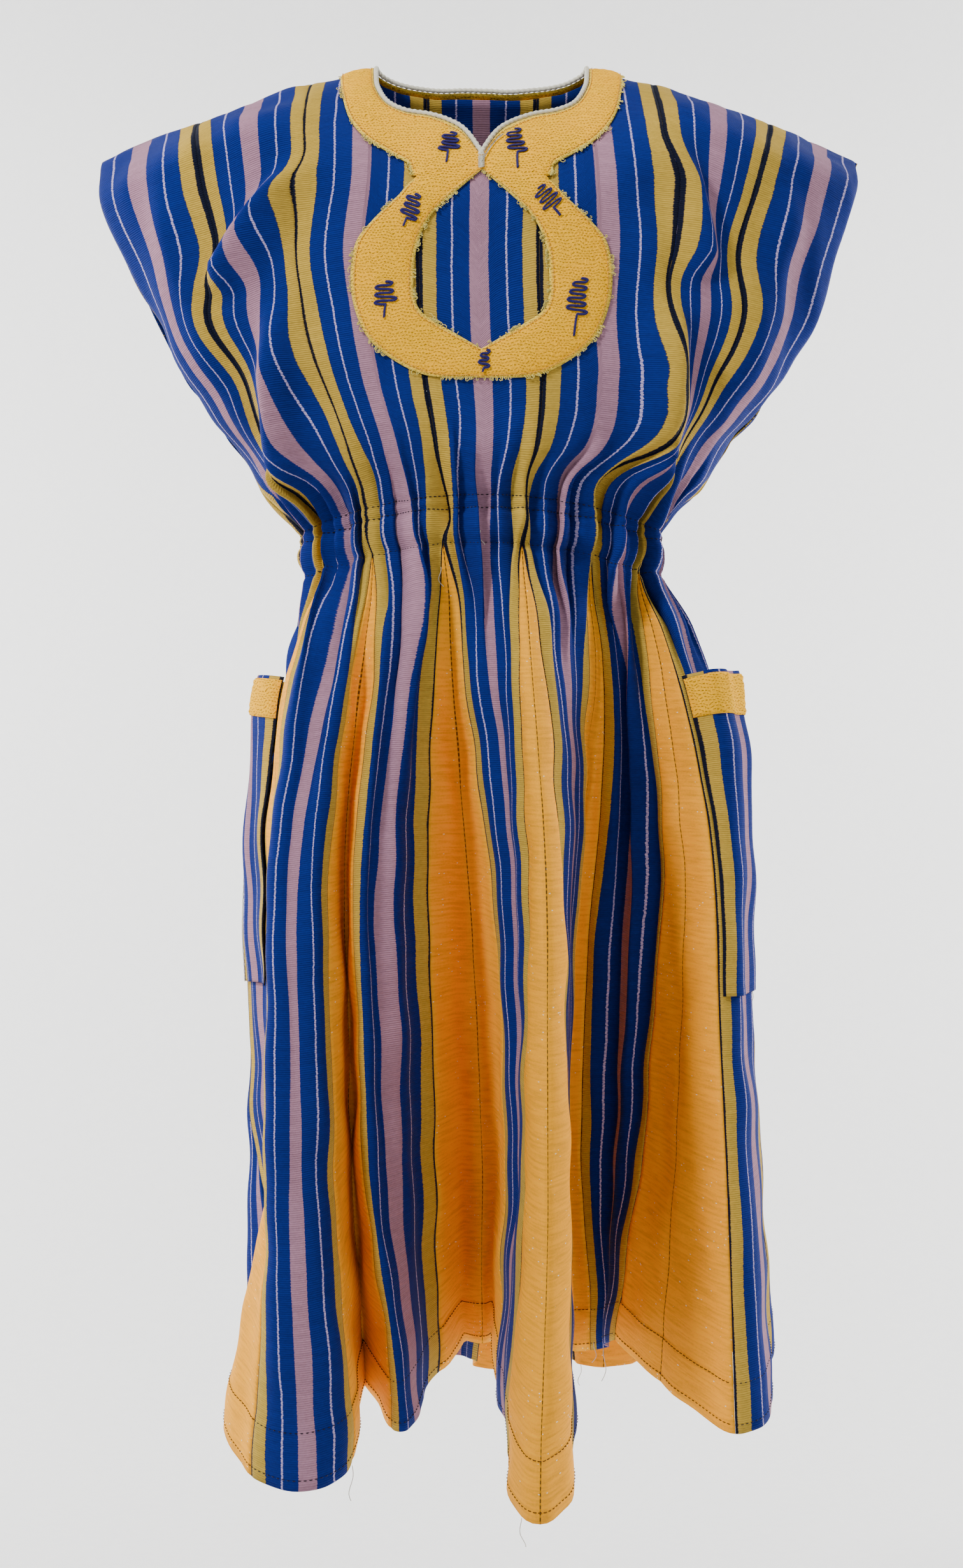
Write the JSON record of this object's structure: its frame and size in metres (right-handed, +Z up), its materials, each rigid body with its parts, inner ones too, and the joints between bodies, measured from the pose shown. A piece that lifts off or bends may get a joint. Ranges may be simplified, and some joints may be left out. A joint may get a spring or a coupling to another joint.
{
  "type": "strip-woven smock dress",
  "caption": "Knee-length dress of striped hand-woven strips with cap sleeves, an elastic waist, flared godets, a quilted collar applique and side pockets.",
  "frame": {"origin": "the middle of the shoulder line, between the two neck points, where the wearer carries the dress", "axes": "+Z up, the front of the dress faces -Y, +X to the right of someone who looks at the front"},
  "size_m": [0.6529, 0.509, 1.1866],
  "materials": {
    "blue stripe cloth": "hand-woven cotton, warp stripes in blue, pink, white, yellow and navy",
    "orange godet cloth": "plain orange cotton with a glittering thread",
    "yellow quilted cloth": "nubby yellow cloth, quilted over padding",
    "cream binding": "soft cream cord"
  },
  "bodies": {
    "root": {"front_strip_1": "blue stripe cloth", "front_strip_2": "blue stripe cloth", "front_strip_3": "blue stripe cloth", "front_strip_4": "blue stripe cloth", "front_strip_5": "blue stripe cloth", "front_strip_6": "blue stripe cloth", "front_strip_7": "blue stripe cloth", "back_strip_1": "blue stripe cloth", "back_strip_2": "blue stripe cloth", "back_strip_3": "blue stripe cloth", "back_strip_4": "blue stripe cloth", "back_strip_5": "blue stripe cloth", "back_strip_6": "blue stripe cloth", "back_strip_7": "blue stripe cloth", "pocket_left": "blue stripe cloth", "pocket_right": "blue stripe cloth", "front_godet_1": "orange godet cloth", "front_godet_2": "orange godet cloth", "front_godet_3": "orange godet cloth", "front_godet_4": "orange godet cloth", "front_godet_5": "orange godet cloth", "front_godet_6": "orange godet cloth", "back_godet_1": "orange godet cloth", "back_godet_2": "orange godet cloth", "back_godet_3": "orange godet cloth", "back_godet_4": "orange godet cloth", "back_godet_5": "orange godet cloth", "back_godet_6": "orange godet cloth", "collar_band": "yellow quilted cloth", "collar_loop": "yellow quilted cloth", "collar_back": "yellow quilted cloth", "pocket_left_band": "yellow quilted cloth", "pocket_right_band": "yellow quilted cloth", "neck_binding": "cream binding"}
  },
  "joints": []
}
